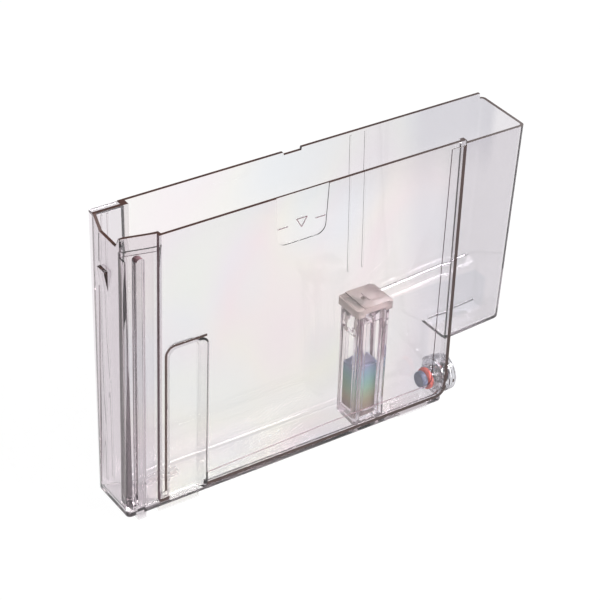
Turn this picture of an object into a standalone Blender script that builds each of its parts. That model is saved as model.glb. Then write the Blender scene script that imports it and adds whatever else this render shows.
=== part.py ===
"""Slide-in fresh water tank: clear moulded tank, float cage with lid and float, and outlet valve.

X runs from the nose to the tail, Y from the panel side to the far side, Z up from the surface it stands on.
The design below is in millimetres, measured from the nose hook, the panel face and the standing surface.
"""

import math

import bmesh
import bpy
from mathutils import Vector

MM = 0.001
LENGTH = 308.0
WIDTH = 49.5
HEIGHT = 215.0
WALL = 2.2
GAP = 0.3

# Main shell
NOSE_X = 2.5
BODY_Y = 2.5
BASE_Z = 4.0
FAR_Y_BASE = 41.5
REAR_X = 256.0
SHELL_CORNER = 5.0
TAIL_CORNER = 3.8
BASE_ROUND = 2.5

# Panel that stands proud of the near side
PANEL_X = (25.5, 255.2)
PANEL_LOW_Z = 10.5
PANEL_CORNER = 9.0
STRIP_WIDTH = 11.3
STRIP_PROUD = 0.8
STRIP_TOP_GAP = 3.4
STRIP_LOW_Z = 25.0

# Tail that hangs behind the rear wall
TAIL_RIM_Z = 211.2
TAIL_LOW_X = 301.5
TAIL_FLOOR_Z = 56.3
TAIL_SLOPE = 0.06

# Bay cut into the far side, under the sloping shelf
BAY_X = 214.0
SHELF_Z = 83.0
SHELF_SLOPE = 0.07
BAY_Y_SHELF = 34.7
BAY_Y_BASE = 25.0

# Nose
NOSE_BACK_X = 26.0
NOSE_FAR_Y = (45.0, 40.4)
CREASE_Y = (37.3, 33.8)
CREASE_DEPTH = 1.4
SPOUT = ((43.0, 0.0), (34.0, -7.2), (14.2, -7.8), (10.6, 0.0))
HOOK_Y = (24.0, 33.0)
HOOK_Z = (169.0, 184.0)

# Grip recess in the near-left corner, with its rail and peg
BAND_Z = 202.2
GRIP_LOW_Z = 11.5
GRIP_FLARE = 0.24
GRIP_DEEPER = 1.3
RAIL_X = (10.6, 16.6)

# Finger pocket in the panel
POCKET_X = (31.2, 57.5)
POCKET_TOP_Z = 129.5
POCKET_DEPTH = 7.0

# Level patch on the panel and notch in the far rim
PATCH_X = (111.0, 148.0)
PATCH_LOW_Z = 179.0
RIM_NOTCH_X = (144.3, 159.8)

# Float cage
CAGE_X = (182.4, 208.4)
CAGE_Y = (8.0, 28.8)
CAGE_Z = (9.3, 99.5)
CAGE_WALL = 1.5
CAGE_TAPER = 0.5
LID_Z = (97.3, 104.3)
LID_WALL = 1.3
LID_LEDGES = (6.0, 3.2)
LID_LEDGE_DROP = 1.0
LEG_LOW_Z = 79.0
FLOAT_X = (184.8, 205.2)
FLOAT_Y = (11.9, 26.4)
FLOAT_Z = (11.2, 53.6)

# Outlet valve, along X through the rear wall
VALVE_Y = 14.4
VALVE_Z = 20.2
SEAT_X = 250.3
SEAT_R = 9.0
BORE_R = 5.2
COLLAR_X = 266.7
COLLAR_R = 14.2
STEM_R = 2.4


def place(x, y, z):
    """Design millimetres to the part's frame in metres, with the origin under the middle of its box."""
    return Vector(((x - LENGTH / 2) * MM, (y - WIDTH / 2) * MM, z * MM))


def material(name, colour, roughness, metallic=0.0, clear=0.0):
    mat = bpy.data.materials.new(name)
    mat.use_nodes = True
    shader = mat.node_tree.nodes["Principled BSDF"]
    shader.inputs["Base Color"].default_value = (*colour, 1.0)
    shader.inputs["Roughness"].default_value = roughness
    shader.inputs["Metallic"].default_value = metallic
    shader.inputs["Transmission Weight"].default_value = clear
    return mat


def new_object(name, bm, cutter=False, origin=None):
    """Make an object from design-space points; its origin goes to the given design point."""
    bmesh.ops.recalc_face_normals(bm, faces=bm.faces)
    start = place(*origin) if origin else Vector((0, 0, 0))
    for vert in bm.verts:
        vert.co = place(*vert.co) - start
    mesh = bpy.data.meshes.new(name)
    bm.to_mesh(mesh)
    bm.free()
    obj = bpy.data.objects.new(name, mesh)
    obj.location = start
    bpy.context.scene.collection.objects.link(obj)
    if cutter:
        obj.hide_render = True
        obj.display_type = "WIRE"
    return obj


def join_rings(bm, rings):
    """Close a stack of equal rings of points into one solid."""
    loops = [[bm.verts.new(point) for point in ring] for ring in rings]
    count = len(loops[0])
    for low, high in zip(loops, loops[1:]):
        for i in range(count):
            j = (i + 1) % count
            bm.faces.new((low[i], low[j], high[j], high[i]))
    bm.faces.new(loops[0])
    bm.faces.new(loops[-1])


def round_ring(x0, x1, y0, y1, z, radius, steps=4):
    """Points of a rectangle with round corners at height z."""
    corners = ((x1, y1, 0), (x0, y1, 90), (x0, y0, 180), (x1, y0, 270))
    ring = []
    for cx, cy, start in corners:
        mx = cx - math.copysign(radius, cx - (x0 + x1) / 2)
        my = cy - math.copysign(radius, cy - (y0 + y1) / 2)
        for i in range(steps + 1):
            angle = math.radians(start + 90 * i / steps)
            ring.append((mx + radius * math.cos(angle), my + radius * math.sin(angle), z))
    return ring


def drafted_box(top, base, z_top, z_base, corner, base_round=0.0, slope=0.0, slope_x=0.0):
    """A box that tapers from its top to its base, with round upright edges and a round base edge."""
    bm = bmesh.new()
    steps = 4 if base_round else 0
    rings = []
    for i in range(steps + 1):
        angle = math.radians(90 * i / steps) if steps else math.pi / 2
        inset = base_round * (1 - math.sin(angle))
        rise = base_round * (1 - math.cos(angle))
        share = rise / (z_top - z_base)
        x0, x1, y0, y1 = (b + (t - b) * share for t, b in zip(top, base))
        ring = round_ring(x0 + inset, x1 - inset, y0 + inset, y1 - inset, z_base + rise, corner)
        rings.append([(x, y, z + slope * (x - slope_x)) for x, y, z in ring])
    rings.append(round_ring(*top, z_top, corner))
    join_rings(bm, rings)
    return bm


def prism_z(outline, z0, z1, high=None):
    """A plan outline drawn up from z0 to z1, changing to the outline 'high' at the top when given."""
    bm = bmesh.new()
    join_rings(bm, [[(x, y, z0) for x, y in outline], [(x, y, z1) for x, y in (high or outline)]])
    return bm


def prism_x(outline, x0, x1):
    """A (y, z) outline drawn along X."""
    bm = bmesh.new()
    join_rings(bm, [[(x0, y, z) for y, z in outline], [(x1, y, z) for y, z in outline]])
    return bm


def prism_y(outline, y0, y1, far=None):
    """An (x, z) outline drawn along Y, changing to the outline 'far' at y1 when given."""
    bm = bmesh.new()
    join_rings(bm, [[(x, y0, z) for x, z in outline], [(x, y1, z) for x, z in (far or outline)]])
    return bm


def box(x0, x1, y0, y1, z0, z1):
    return prism_z(((x0, y0), (x1, y0), (x1, y1), (x0, y1)), z0, z1)


def turned_x(profile, y, z, sides=32):
    """Turn an (x, radius) profile about an axis along X through (y, z)."""
    bm = bmesh.new()
    rings = []
    for x, radius in profile:
        ring = []
        for i in range(sides):
            angle = 2 * math.pi * i / sides
            ring.append((x, y + radius * math.cos(angle), z + radius * math.sin(angle)))
        rings.append(ring)
    join_rings(bm, rings)
    return bm


def tube_x(profile, y, z, sides=32):
    """Turn a closed (x, radius) outline about an axis along X; the hole stays open."""
    bm = bmesh.new()
    loops = []
    for i in range(sides):
        angle = 2 * math.pi * i / sides
        points = [(x, y + r * math.cos(angle), z + r * math.sin(angle)) for x, r in profile]
        loops.append([bm.verts.new(point) for point in points])
    count = len(profile)
    for i in range(sides):
        here, there = loops[i], loops[(i + 1) % sides]
        for j in range(count):
            k = (j + 1) % count
            bm.faces.new((here[j], here[k], there[k], there[j]))
    return bm


def boolean(target, tools, operation):
    for tool in tools:
        mod = target.modifiers.new(tool.name, "BOOLEAN")
        mod.object = tool
        mod.operation = operation
        mod.solver = "EXACT"


def cutter(name, bm):
    return new_object(name, bm, cutter=True)


def arc(cx, cz, radius, start, end, steps=5):
    """Points of an arc, in degrees, in a plane."""
    points = []
    for i in range(steps + 1):
        angle = math.radians(start + (end - start) * i / steps)
        points.append((cx + radius * math.cos(angle), cz + radius * math.sin(angle)))
    return points


def panel_outline(inset=0.0, low=PANEL_LOW_Z, top=HEIGHT):
    """The panel's face: square at the left, with one round corner at the lower right."""
    x0 = PANEL_X[0] + inset
    x1 = PANEL_X[1] - inset
    z0 = low + inset
    radius = PANEL_CORNER - inset / 2
    return [(x0, top), (x0, z0), *arc(x1 - radius, z0 + radius, radius, 270, 360), (x1, top)]


def far_y(z, inset=0.0):
    """The leaning far wall's y at a height."""
    return FAR_Y_BASE + (WIDTH - FAR_Y_BASE) * (z - BASE_Z) / (HEIGHT - BASE_Z) - inset


def shell_solids(inset):
    """The overlapping solids whose union is the shell's outside (inset 0) or its hollow (inset WALL)."""
    low = BASE_Z + inset
    above = HEIGHT + (5.0 if inset else 0.0)
    corner = SHELL_CORNER - inset * 0.8
    rounding = BASE_ROUND - inset * 0.8
    near = BODY_Y + inset
    main = drafted_box(
        (NOSE_X + inset, REAR_X - inset, near, far_y(above, inset)),
        (NOSE_X + inset, REAR_X - inset, near, far_y(low, inset)), above, low, corner, rounding)
    panel_back = BODY_Y + 6.0 + inset
    panel = prism_y(panel_outline(inset, top=above), STRIP_PROUD + inset if inset else 0.0, panel_back)
    floor = TAIL_FLOOR_Z + inset
    tail_x = TAIL_LOW_X + (LENGTH - TAIL_LOW_X) * (above - floor) / (TAIL_RIM_Z - floor)
    tail = drafted_box(
        (REAR_X - 20, tail_x - inset, near, far_y(above, inset)),
        (REAR_X - 20, TAIL_LOW_X - inset, near, far_y(floor, inset)),
        above, floor, TAIL_CORNER - inset * 0.8, 2.6 - inset * 0.8, TAIL_SLOPE, REAR_X)
    return [main, panel, tail]


def crease_solid(inset):
    """The wedge beyond the nose face's upright crease, where the face falls back to its far edge."""
    def outline(crease_y):
        x = NOSE_X + inset
        return ((-8.0, crease_y), (x, crease_y), (x + CREASE_DEPTH, WIDTH + 1.0), (-8.0, WIDTH + 1.0))
    low, high = CREASE_Y
    return prism_z(outline(low), -6.0, HEIGHT + 10.0, outline(high))


def bay_solid(inset):
    """The space taken out of the far side; for the hollow it is grown by the wall."""
    x0 = BAY_X - inset
    x1 = LENGTH + 20
    z_near, z_far = (SHELF_Z + inset + SHELF_SLOPE * (x - BAY_X) for x in (x0, x1))
    lean = (BAY_Y_SHELF - BAY_Y_BASE) / (SHELF_Z - BASE_Z)
    bm = bmesh.new()
    rings = []
    for x, z in ((x0, z_near), (x1, z_far)):
        y_shelf = BAY_Y_BASE - inset + lean * (z - BASE_Z)
        y_low = BAY_Y_BASE - inset + lean * (-6 - BASE_Z)
        rings.append([(x, y_low, -6), (x, 70, -6), (x, 70, z), (x, y_shelf, z)])
    join_rings(bm, rings)
    return bm


def nose_far_solid(inset):
    """The space outside the nose's own far wall."""
    x0 = NOSE_X + WALL if not inset else -10
    x1 = NOSE_BACK_X + inset
    top = HEIGHT - WALL if not inset else HEIGHT + 10
    high = NOSE_FAR_Y[0] - inset
    base = NOSE_FAR_Y[1] - inset
    return prism_z(((x0, base), (x1, base), (x1, 70), (x0, 70)), -6, top,
                   ((x0, high), (x1, high), (x1, 70), (x0, 70)))


def grip_solids(inset):
    """The grip recess in the near-left corner: a shallower band at the top and a deeper field below."""
    def outline(left, deep):
        left -= inset
        near = 4.4 + deep + inset
        return ((left, -8.0), (left, near + GRIP_FLARE * (22.6 - left)), (22.6, near),
                (25.4 + inset, near - 0.6), (26.4 + inset, -8.0))
    band = prism_z(outline(-8.0, 0.0), BAND_Z - inset - 0.5, HEIGHT + 10)
    low, high = (outline(left, GRIP_DEEPER) for left in (6.2, 3.4))
    field = prism_z(low, GRIP_LOW_Z - inset, BAND_Z + inset, high)
    return [band, field]


def pocket_solid(inset):
    """The finger pocket: round upper corners, sloping sides, open through the panel's lower edge."""
    def outline(x0, x1, z1, radius):
        return [(x0, PANEL_LOW_Z - 3), (x1, PANEL_LOW_Z - 3), *arc(x1 - radius, z1 - radius, radius, 0, 90),
                *arc(x0 + radius, z1 - radius, radius, 90, 180)]
    x0, x1 = POCKET_X[0] - inset, POCKET_X[1] + inset
    top = POCKET_TOP_Z + inset
    mouth = outline(x0 - 0.6, x1 + 5.7, top + 0.8, 6.0 + inset)
    back = outline(x0 + 0.8, x1, top - 1.0, 5.0 + inset)
    return prism_y(mouth, -3.0, POCKET_DEPTH + inset, back)


def tank_body(mat):
    outside = [new_object("outside_%d" % i, bm, cutter=i > 0) for i, bm in enumerate(shell_solids(0.0))]
    tank = outside[0]
    tank.name = "tank_body"
    tank.hide_render = False
    boolean(tank, outside[2:], "UNION")
    grip = [cutter("grip_%d" % i, bm) for i, bm in enumerate(grip_solids(0.0))]
    boolean(tank, grip, "DIFFERENCE")
    boolean(tank, outside[1:2], "UNION")
    outer_cuts = [cutter("crease", crease_solid(0.0)), cutter("bay", bay_solid(0.0)),
                  cutter("nose_far", nose_far_solid(0.0)), cutter("pocket", pocket_solid(0.0)),
                  cutter("panel_field", panel_field()), cutter("patch", level_patch())]
    boolean(tank, outer_cuts, "DIFFERENCE")
    inside = [cutter("inside_%d" % i, bm) for i, bm in enumerate(shell_solids(WALL))]
    hollow = inside[0]
    boolean(hollow, inside[1:], "UNION")
    kept = [cutter("kept_%d" % i, bm) for i, bm in enumerate(
        [crease_solid(WALL), bay_solid(WALL), nose_far_solid(WALL), *grip_solids(WALL),
         pocket_solid(WALL)])]
    boolean(hollow, kept, "DIFFERENCE")
    boolean(tank, [hollow], "DIFFERENCE")
    boolean(tank, [cutter("seat_ring", seat_ring()), cutter("collar", collar()), cutter("rail", rail()),
                   cutter("hook", hook()), *feet(), *ribs(), *cage_seats()], "UNION")
    boolean(tank, [cutter("spout", spout()), cutter("rim_notch", rim_notch()), *tail_rims(),
                   cutter("outlet_bore", outlet_bore())], "DIFFERENCE")
    tank.data.materials.append(mat)
    return tank


def panel_field():
    """The panel's main face, set back from the strip along its right and lower edges."""
    x0, x1 = PANEL_X[0] - 3, PANEL_X[1] - STRIP_WIDTH
    radius = PANEL_CORNER / 2
    high = HEIGHT - STRIP_TOP_GAP
    outline = [(x0, HEIGHT + 3), (x0, STRIP_LOW_Z), *arc(x1 - radius, STRIP_LOW_Z + radius, radius, 270, 360),
               (x1, high), (PANEL_X[1] + 3, high), (PANEL_X[1] + 3, HEIGHT + 3)]
    return prism_y(outline, -3.0, STRIP_PROUD)


def level_patch():
    """Smooth patch with round lower corners, set into the panel behind the level mark."""
    x0, x1 = PATCH_X
    radius = 7.0
    outline = [(x0, HEIGHT + 3), *arc(x0 + radius, PATCH_LOW_Z + radius, radius, 180, 270),
               *arc(x1 - radius, PATCH_LOW_Z + radius, radius, 270, 360), (x1, HEIGHT + 3)]
    return prism_y(outline, -3.0, STRIP_PROUD + 0.7)


def seat_ring():
    """Raised seat on the rear wall's inside, which the rubber ring closes on."""
    return turned_x(((SEAT_X, SEAT_R), (REAR_X - 1.0, SEAT_R + 0.3)), VALVE_Y, VALVE_Z)


def collar():
    """Stepped collar behind the rear wall, which enters the machine."""
    inner = COLLAR_R - 2.0
    profile = [(REAR_X - 1.0, COLLAR_R)]
    for i in range(3):
        x = COLLAR_X - 7.2 + 2.4 * i
        profile += [(x, COLLAR_R - 0.15 * i), (x, COLLAR_R - 0.8), (x + 0.8, COLLAR_R - 0.8)]
        profile += [(x + 0.8, COLLAR_R - 0.15 * i)]
    profile += [(COLLAR_X, COLLAR_R - 0.9), (COLLAR_X, inner), (REAR_X - 1.0, inner)]
    return tube_x(profile, VALVE_Y, VALVE_Z, 40)


def rail():
    """Upright rail in the grip recess; its lower end is a peg that reaches the standing surface."""
    x0, x1 = RAIL_X
    middle = (x0 + x1) / 2
    radius = (x1 - x0) / 2
    outline = [(x0, 0.0), (x1, 0.0), *arc(middle, BAND_Z - 1.2 - radius, radius, 0, 180, 6)]
    return prism_y(outline, BODY_Y + 0.6, 10.4)


def hook():
    """Catch for the front cover on the nose face: flat on top, running out downwards."""
    low, high = HOOK_Z
    bm = bmesh.new()
    y0, y1 = HOOK_Y
    rings = [[(NOSE_X + 1, y, low), (NOSE_X + 1, y, high), (0.0, y, high), (0.0, y, high - 2),
              (NOSE_X, y, low)] for y in (y0, y1)]
    join_rings(bm, rings)
    return bm


def feet():
    """Two feet under the front and one under the rear; the rail's peg stands beside them."""
    sizes = ((26.5, 57.0, BODY_Y + 1.5, BODY_Y + 5.0), (26.5, 57.0, 31.0, 35.5), (222.0, 246.0, 6.5, 19.5))
    return [cutter("foot_%d" % i, box(x0, x1, y0, y1, 0.0, BASE_Z + 1.0))
            for i, (x0, x1, y0, y1) in enumerate(sizes)]


def cage_seats():
    """Two low rests on the floor that the float cage stands on."""
    x0, x1 = CAGE_X[0] + CAGE_TAPER, CAGE_X[1] - CAGE_TAPER
    top = CAGE_Z[0] - GAP
    return [cutter("cage_seat_%d" % i, box(x, x + 3.0, CAGE_Y[0] + 2.0, CAGE_Y[1] - 2.0, BASE_Z + 1.0, top))
            for i, x in enumerate((x0 + 2.0, x1 - 5.0))]


def ribs():
    """Thin upright ribs inside the far wall and inside the nose."""
    made = []
    for i, x in enumerate((197.4, 209.2)):
        outline = ((x - 0.6, far_y(HEIGHT, WALL)), (x - 0.6, far_y(HEIGHT, WALL + 1.4)),
                   (x + 0.6, far_y(HEIGHT, WALL + 1.4)), (x + 0.6, far_y(HEIGHT, WALL)))
        drop = far_y(HEIGHT) - far_y(110.0)
        top = [(px, py + 0.4 * (j in (0, 3))) for j, (px, py) in enumerate(outline)]
        low = [(px, py - drop) for px, py in top]
        made.append(cutter("guide_rib_%d" % i, prism_z(low, 110.0, HEIGHT - 2.0, top)))
    slope = (NOSE_FAR_Y[0] - NOSE_FAR_Y[1])
    for i, x in enumerate((9.0, 13.2)):
        y = NOSE_FAR_Y[0] - WALL
        top = ((x - 0.5, y + 0.4), (x - 0.5, y - 1.0), (x + 0.5, y - 1.0), (x + 0.5, y + 0.4))
        low = [(px, py - slope * 0.93) for px, py in top]
        made.append(cutter("nose_rib_%d" % i, prism_z(low, 12.0, HEIGHT - 2.0, top)))
    return made


def spout():
    """Pouring dip in the rim of the nose face."""
    outline = [(y, HEIGHT + z) for y, z in SPOUT]
    outline = [(outline[0][0] + 2.0, HEIGHT + 4), *outline, (outline[-1][0] - 1.0, HEIGHT + 4)]
    return prism_x(outline, -3.0, NOSE_X + WALL + 1.5)


def rim_notch():
    """Shallow notch in the far rim, with sloping ends."""
    x0, x1 = RIM_NOTCH_X
    outline = ((x0 + 1, HEIGHT - 2), (x1 - 1, HEIGHT - 2), (x1, HEIGHT + 3), (x0, HEIGHT + 3))
    return prism_y(outline, 40.0, 60.0)


def tail_rims():
    """The tail's rim is lower than the main rim, except along the far wall."""
    near = box(PANEL_X[1], LENGTH + 5, -5.0, WIDTH - WALL - 0.4, TAIL_RIM_Z, HEIGHT + 4)
    end = box(LENGTH - 4.2, LENGTH + 6, 30.0, WIDTH + 5, TAIL_RIM_Z, HEIGHT + 4)
    return [cutter("tail_rim_near", near), cutter("tail_rim_end", end)]


def outlet_bore():
    """Water way through the seat and the rear wall."""
    return turned_x(((SEAT_X - 2.0, BORE_R), (REAR_X + 3.0, BORE_R)), VALVE_Y, VALVE_Z)


def float_cage(mat):
    """Open-topped cage with a tall window in each side and clip slots near the top."""
    x0, x1 = CAGE_X
    y0, y1 = CAGE_Y
    z0, z1 = CAGE_Z
    wall = CAGE_WALL
    outer = drafted_box((x0, x1, y0, y1), (x0 + CAGE_TAPER, x1 - CAGE_TAPER, y0, y1), z1, z0, 1.2)
    cage = new_object("float_cage", outer)
    inner = drafted_box((x0 + wall, x1 - wall, y0 + wall, y1 - wall),
                        (x0 + wall + CAGE_TAPER, x1 - wall - CAGE_TAPER, y0 + wall, y1 - wall),
                        z1 + 4.0, z0 + wall, 0.6)
    middle = (x0 + x1) / 2
    window = box(middle - 5.5, middle + 5.5, y0 - 4, y1 + 4, z0 + 8.0, z1 - 9.5)
    front_window = box(x0 - 5, x0 + 5, y0 + 4.2, y1 - 4.2, z0 + 8.0, 79.5)
    rear_window = box(x1 - 5, x1 + 5, 15.0, 22.0, z0 + 12.0, z1 - 9.5)
    drain = box(middle - 6.0, middle + 6.0, 12.0, 24.0, z0 - 3.0, z0 + 4.0)
    slots = [box(x0 - 4, x1 + 4, y, y + 3.5, z1 - 17.5, z1 - 13.5) for y in (y0 + 3.0, y1 - 6.5)]
    cuts = [cutter("cage_cut_%d" % i, bm) for i, bm in enumerate(
        (inner, window, front_window, rear_window, drain, *slots))]
    boolean(cage, cuts, "DIFFERENCE")
    rails = []
    for i, x in enumerate((middle - 8.0, middle + 8.0)):
        for j, (low, high) in enumerate(((y0 + 0.9, FLOAT_Y[0] - 0.4), (FLOAT_Y[1] + 0.4, y1 - 0.9))):
            rail_box = box(x - 0.6, x + 0.6, low, high, z0 + 0.7, z1 - 10.5)
            rails.append(cutter("cage_rail_%d%d" % (i, j), rail_box))
    boolean(cage, rails, "UNION")
    cage.data.materials.append(mat)
    return cage


def cage_lid(mat):
    """Cap with a low skirt round the cage's top, a ledge at each end, and four clip legs inside the cage."""
    x0, x1 = CAGE_X
    y0, y1 = CAGE_Y
    low, top = LID_Z
    reach = LID_WALL + GAP
    outer = (x0 - reach, x1 + reach, y0 - reach, y1 + reach)
    inner = (x0 - GAP, x1 + GAP, y0 - GAP, y1 + GAP)
    lid = new_object("cage_lid", drafted_box(outer, outer, top, low, 1.6), origin=(x0, y0, top))
    under = drafted_box(inner, inner, CAGE_Z[1] + GAP, low - 2, 1.2)
    crown_reach = CAGE_WALL + 0.8
    crown_box = (x0 + crown_reach, x1 - crown_reach, y0 + crown_reach, y1 - crown_reach)
    crown = drafted_box(crown_box, crown_box, top - 2.8, CAGE_Z[1] - 3.0, 0.8)
    skirt_gap = box(x0 + 5.0, x1 - 5.0, y0 - 5, y1 + 5, low - 1.0, low + 2.2)
    ledge_z = (top - LID_LEDGE_DROP, top + 2.0)
    ledges = [box(outer[0] - 1, outer[0] + LID_LEDGES[0], y0 - 5, y1 + 5, *ledge_z),
              box(outer[1] - LID_LEDGES[1], outer[1] + 1, y0 - 5, y1 + 5, *ledge_z)]
    cuts = [cutter("lid_cut_%d" % i, bm) for i, bm in enumerate((under, crown, skirt_gap, *ledges))]
    boolean(lid, cuts, "DIFFERENCE")
    legs = []
    inside = CAGE_WALL + 0.4
    for i, (x, side) in enumerate(((x0 + inside, 1), (x1 - inside, -1))):
        for j, y in enumerate((y0 + 3.2, y1 - 6.4)):
            near, far = sorted((x + side * 0.15, x + side * 1.35))
            leg = box(near, far, y, y + 3.2, LEG_LOW_Z, top - 2.0)
            legs.append(cutter("lid_leg_%d%d" % (i, j), leg))
    middle_x, middle_y = (x0 + x1) / 2, (y0 + y1) / 2
    grip = box(middle_x - 0.6, middle_x + 0.6, middle_y - 5.0, middle_y + 5.0, top - 1.0, top + 0.5)
    boolean(lid, [*legs, cutter("lid_grip", grip)], "UNION")
    vent = box(x0 + 9.0, x0 + 12.0, middle_y - 1.5, middle_y + 1.5, CAGE_Z[1] - 1, top + 3)
    boolean(lid, [cutter("lid_vent", vent)], "DIFFERENCE")
    lid.data.materials.append(mat)
    return lid


def float_block(mat):
    """Block float with a ridge on top, a guide lug and an open pocket below for its magnet."""
    x0, x1 = FLOAT_X
    y0, y1 = FLOAT_Y
    z0, z1 = FLOAT_Z
    middle = (x0 + x1) / 2
    body = new_object("float", drafted_box((x0, x1, y0, y1), (x0, x1, y0, y1), z1 - 2.5, z0, 1.2),
                      origin=(middle, (y0 + y1) / 2, z0))
    ridge = prism_y(((x0 + 1.2, z1 - 4), (x1 - 1.2, z1 - 4), (x1 - 1.2, z1 - 2.2), (middle + 2.5, z1),
                     (middle - 2.5, z1), (x0 + 1.2, z1 - 2.2)), y0 + 1.2, y1 - 1.2)
    lug = box(x1 - 1, x1 + 1.0, 17.0, 20.0, z1 - 12.0, z1 - 5.0)
    boolean(body, [cutter("float_ridge", ridge), cutter("float_lug", lug)], "UNION")
    pocket = turned_z(((z0 - 2, 3.6), (z0 + 11.0, 3.6)), middle, (y0 + y1) / 2)
    boolean(body, [cutter("magnet_pocket", pocket)], "DIFFERENCE")
    body.data.materials.append(mat)
    return body


def turned_z(profile, x, y, sides=20):
    """Turn a (z, radius) profile about an upright axis."""
    bm = bmesh.new()
    rings = []
    for z, radius in profile:
        ring = []
        for i in range(sides):
            angle = 2 * math.pi * i / sides
            ring.append((x + radius * math.cos(angle), y + radius * math.sin(angle), z))
        rings.append(ring)
    join_rings(bm, rings)
    return bm


def float_magnet(mat):
    """Round magnet that sits in the float's pocket."""
    x, y = sum(FLOAT_X) / 2, sum(FLOAT_Y) / 2
    z0 = FLOAT_Z[0]
    bm = turned_z(((z0 + 0.5, 2.9), (z0 + 1.0, 3.3), (z0 + 10.2, 3.3), (z0 + 10.7, 2.9)), x, y)
    magnet = new_object("float_magnet", bm, origin=(x, y, z0))
    magnet.data.materials.append(mat)
    return magnet


def valve_pieces(knob_plastic, rubber, stem_plastic, steel):
    """Knob, rubber ring, stem with its head, and the spring that pulls them shut."""
    axis = (SEAT_X, VALVE_Y, VALVE_Z)
    knob_back = SEAT_X - 3.9
    knob = tube_x(((knob_back - 4.0, STEM_R + 1.0), (knob_back - 4.0, 5.4), (knob_back - 3.2, 6.2),
                   (knob_back, 6.2), (knob_back, STEM_R + GAP), (knob_back - 3.0, STEM_R + GAP)),
                  VALVE_Y, VALVE_Z)
    seal = tube_x(((SEAT_X - 3.5, STEM_R + GAP), (SEAT_X - 3.5, 7.0), (SEAT_X - 2.8, 7.8),
                   (SEAT_X - GAP, 7.8), (SEAT_X - GAP, STEM_R + GAP)), VALVE_Y, VALVE_Z)
    head = COLLAR_X - 2.6
    stem = turned_x(((knob_back - 3.4, STEM_R - 0.6), (knob_back - 2.6, STEM_R), (head, STEM_R), (head, 7.6),
                     (head + 1.6, 7.6), (head + 2.2, 7.0)), VALVE_Y, VALVE_Z)
    made = [new_object("valve_knob", knob, origin=axis), new_object("valve_seal", seal, origin=axis),
            new_object("valve_stem", stem, origin=axis)]
    for obj, mat in zip(made, (knob_plastic, rubber, stem_plastic)):
        obj.data.materials.append(mat)
    spring = valve_spring(REAR_X + 0.9, head - 0.9, axis)
    spring.data.materials.append(steel)
    return made + [spring]


def valve_spring(x0, x1, axis, turns=3.0, radius=6.4, wire=0.45, per_turn=16, sides=6):
    """Coil spring between the rear wall and the stem's head."""
    pitch = (x1 - x0) / turns
    climb = math.atan2(pitch, 2 * math.pi * radius)
    rings = []
    for i in range(int(turns * per_turn) + 1):
        turn = 2 * math.pi * i / per_turn
        out = Vector((0.0, math.cos(turn), math.sin(turn)))
        along = Vector((0.0, -math.sin(turn), math.cos(turn)))
        across = math.cos(climb) * Vector((1.0, 0.0, 0.0)) - math.sin(climb) * along
        centre = Vector((x0 + pitch * i / per_turn, VALVE_Y, VALVE_Z)) + radius * out
        angles = [2 * math.pi * j / sides for j in range(sides)]
        rings.append([centre + wire * (math.cos(a) * out + math.sin(a) * across) for a in angles])
    bm = bmesh.new()
    join_rings(bm, rings)
    return new_object("valve_spring", bm, origin=axis)


def smooth(obj):
    if obj.type == "MESH":
        obj.data.shade_smooth()
        obj.data.set_sharp_from_angle(angle=math.radians(30))


def main():
    for obj in list(bpy.data.objects):
        bpy.data.objects.remove(obj)
    clear = material("clear_plastic", (0.86, 0.83, 0.85), 0.03, clear=1.0)
    smoke = material("smoke_plastic", (0.62, 0.55, 0.53), 0.05, clear=0.9)
    grey = material("float_plastic", (0.22, 0.32, 0.33), 0.3)
    navy = material("navy_plastic", (0.012, 0.016, 0.035), 0.25)
    natural = material("natural_plastic", (0.72, 0.73, 0.72), 0.3)
    red = material("red_rubber", (0.62, 0.03, 0.02), 0.45)
    steel = material("spring_steel", (0.62, 0.62, 0.64), 0.25, metallic=1.0)
    magnet = material("magnet", (0.2, 0.2, 0.21), 0.35, metallic=1.0)
    made = [tank_body(clear), float_cage(clear), cage_lid(smoke), float_block(grey), float_magnet(magnet)]
    made += valve_pieces(navy, red, natural, steel)
    for obj in made:
        smooth(obj)


main()
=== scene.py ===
"""Looks for the fresh water tank: clear shell, float cage with lid and float, outlet valve, white studio.

X runs from the nose to the tail, Y from the panel side to the far side, Z up. Shapes are drawn in
millimetres from the hook's tip, the panel's face and the standing surface; place() turns them into
the row frame's metres.
"""

import math

import bmesh
import bpy
from mathutils import Matrix, Vector


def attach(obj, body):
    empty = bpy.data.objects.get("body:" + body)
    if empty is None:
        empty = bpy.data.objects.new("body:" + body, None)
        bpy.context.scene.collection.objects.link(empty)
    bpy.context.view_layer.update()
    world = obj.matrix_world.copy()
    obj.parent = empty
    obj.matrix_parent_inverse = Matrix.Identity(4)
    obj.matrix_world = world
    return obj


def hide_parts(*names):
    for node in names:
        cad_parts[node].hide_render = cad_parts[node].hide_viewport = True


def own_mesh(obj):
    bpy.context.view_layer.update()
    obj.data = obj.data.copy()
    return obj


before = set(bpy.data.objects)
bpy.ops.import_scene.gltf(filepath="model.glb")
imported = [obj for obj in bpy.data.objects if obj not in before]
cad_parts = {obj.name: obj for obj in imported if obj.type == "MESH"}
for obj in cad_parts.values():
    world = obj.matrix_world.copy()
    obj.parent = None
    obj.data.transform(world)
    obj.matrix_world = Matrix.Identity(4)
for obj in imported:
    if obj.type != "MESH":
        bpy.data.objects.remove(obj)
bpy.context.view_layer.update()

MM = 0.001
LENGTH = 308.0
WIDTH = 49.5
HEIGHT = 215.0

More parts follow.
